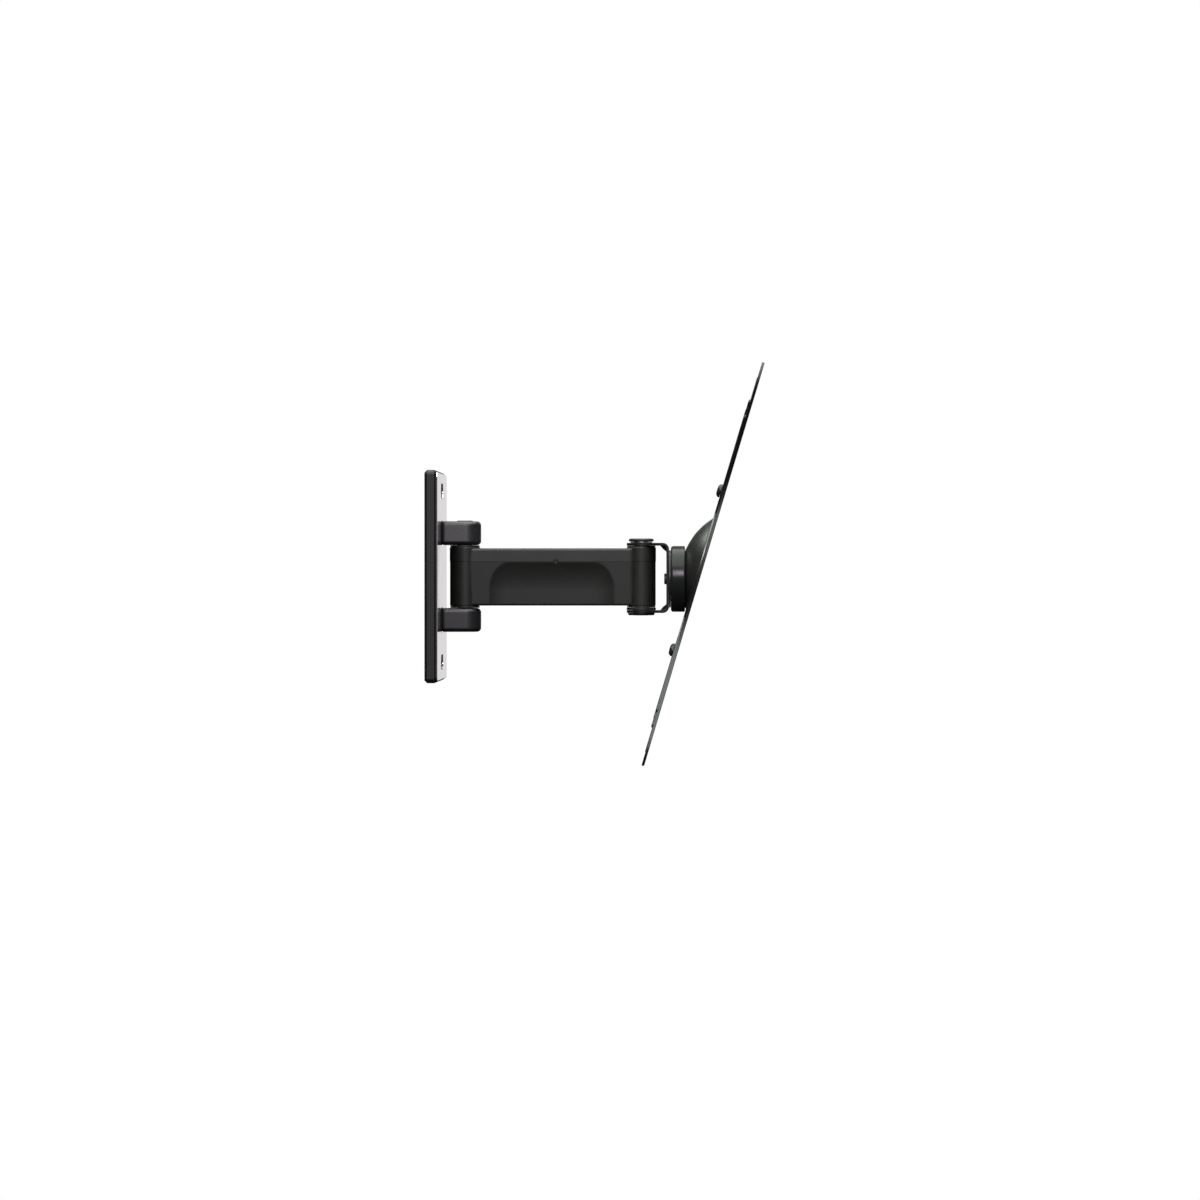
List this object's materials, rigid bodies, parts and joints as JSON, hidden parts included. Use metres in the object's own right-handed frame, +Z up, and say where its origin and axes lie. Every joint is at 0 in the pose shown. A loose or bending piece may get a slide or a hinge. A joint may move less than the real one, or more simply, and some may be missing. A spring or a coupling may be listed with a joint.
{
  "type": "full motion tv wall mount",
  "caption": "Wall bracket with a short swing arm, a bent strap yoke and a cross-shaped screen plate that tilts on a dome.",
  "frame": {"origin": "centre of the wall plate's back face, on the wall", "axes": "+Z up, +Y into the wall, so the mount reaches away from the wall along -Y; X runs along the wall"},
  "size_m": [0.218, 0.1788, 0.2092],
  "materials": {
    "cast_black": "satin black powder coat on a casting",
    "coat_black": "satin black powder coat on pressed steel",
    "satin_silver": "fine satin, slightly glossy",
    "bush_plastic": "plain black moulding",
    "zinc_steel": "bright zinc plate",
    "black_steel": "black oxide",
    "disc_black": "smooth, semi-gloss black moulding"
  },
  "bodies": {
    "wall_bracket": {"wall_plate": "cast_black", "face_cover": "satin_silver", "hinge_block_upper": "cast_black", "hinge_block_lower": "cast_black", "block_screw_1": "zinc_steel", "block_screw_2": "zinc_steel", "block_screw_3": "zinc_steel", "block_screw_4": "zinc_steel", "wall_pivot_pin": "black_steel", "pin_clip": "black_steel"},
    "arm": {"arm_body": "cast_black", "wall_bush_upper": "bush_plastic", "wall_bush_lower": "bush_plastic", "head_bush_upper": "bush_plastic", "head_bush_lower": "bush_plastic"},
    "yoke": {"yoke": "coat_black", "head_pivot_bolt": "black_steel", "head_washer": "zinc_steel", "head_lower_washer": "bush_plastic", "head_pivot_nut": "black_steel", "tilt_stud": "black_steel", "friction_washer": "bush_plastic", "disc_spring": "zinc_steel", "lock_nut": "zinc_steel"},
    "carriage": {"swivel_disc": "disc_black", "saddle_washer": "zinc_steel"},
    "head": {"tilt_dome": "coat_black", "dome_screw_1": "black_steel", "dome_screw_2": "black_steel", "dome_screw_3": "black_steel", "dome_screw_4": "black_steel", "screen_plate": "coat_black"}
  },
  "joints": [
    {"name": "arm_swivel", "type": "hinge", "parent": "wall_bracket", "child": "arm", "pos_m": [0, -0.0192, 0], "axis": [0, 0, 1], "range_deg": [-80, 80]},
    {"name": "head_swivel", "type": "hinge", "parent": "arm", "child": "yoke", "pos_m": [0, -0.114, 0], "axis": [0, 0, 1], "range_deg": [-70, 70]},
    {"name": "head_roll", "type": "hinge", "parent": "yoke", "child": "carriage", "pos_m": [0, -0.1725, -0.00125], "axis": [0, -1, 0], "range_deg": [-5, 5]},
    {"name": "head_tilt", "type": "hinge", "parent": "carriage", "child": "head", "pos_m": [0, -0.1725, -0.00125], "axis": [-1, 0, 0], "range_deg": [0, 33.3]}
  ]
}
